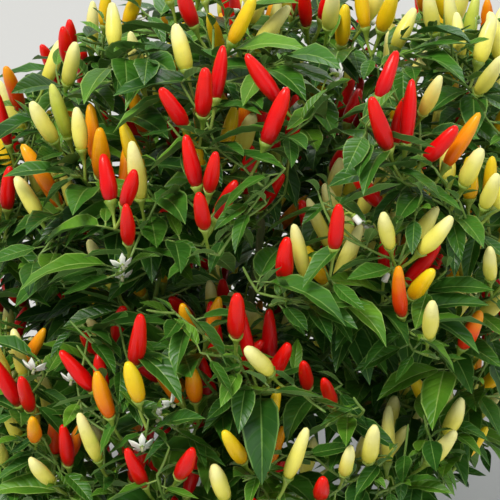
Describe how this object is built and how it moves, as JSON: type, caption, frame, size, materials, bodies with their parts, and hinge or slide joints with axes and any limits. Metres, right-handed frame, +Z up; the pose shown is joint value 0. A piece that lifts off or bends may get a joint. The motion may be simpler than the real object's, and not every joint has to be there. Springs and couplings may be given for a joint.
{
  "type": "chilli pepper plant",
  "caption": "Bushy rooted chilli pepper plant: a forked green stem, dark drooping leaves, and upright blunt fruit that ripens from cream through orange to red.",
  "frame": {"origin": "middle of the flat cut under the main stem, at ground level", "axes": "+Z up along the plant's height, -Y towards the side that the picture shows, +X to that side's right"},
  "size_m": [0.4602, 0.4565, 0.4825],
  "materials": {
    "bark": "matt, ridged, greenish brown",
    "green_stem": "satin green with paler ridges",
    "leaf": "dark green leaf with a soft gloss, pale midrib and veins, and a paler back",
    "ripe_fruit": "glossy waxy red skin",
    "orange_fruit": "glossy waxy orange skin",
    "yellow_fruit": "glossy waxy yellow skin",
    "pale_fruit": "glossy waxy cream-yellow skin",
    "stalk": "satin pale green",
    "petal": "soft white"
  },
  "bodies": {
    "root": {"main_stem": "bark", "leader": "green_stem", "main_bough_1": "green_stem", "main_bough_2": "green_stem", "main_bough_3": "green_stem", "side_bough_1": "green_stem", "side_bough_2": "green_stem", "side_bough_3": "green_stem", "side_bough_4": "green_stem", "side_bough_5": "green_stem", "side_bough_6": "green_stem", "low_foliage_front": "leaf", "low_foliage_front_right": "leaf", "low_foliage_back_right": "leaf", "low_foliage_back": "leaf", "low_foliage_back_left": "leaf", "low_foliage_front_left": "leaf", "high_foliage_front_right": "leaf", "high_foliage_right": "leaf", "high_foliage_back_right": "leaf", "high_foliage_back_left": "leaf", "high_foliage_left": "leaf", "high_foliage_front_left": "leaf", "top_foliage": "leaf"}
  },
  "joints": []
}
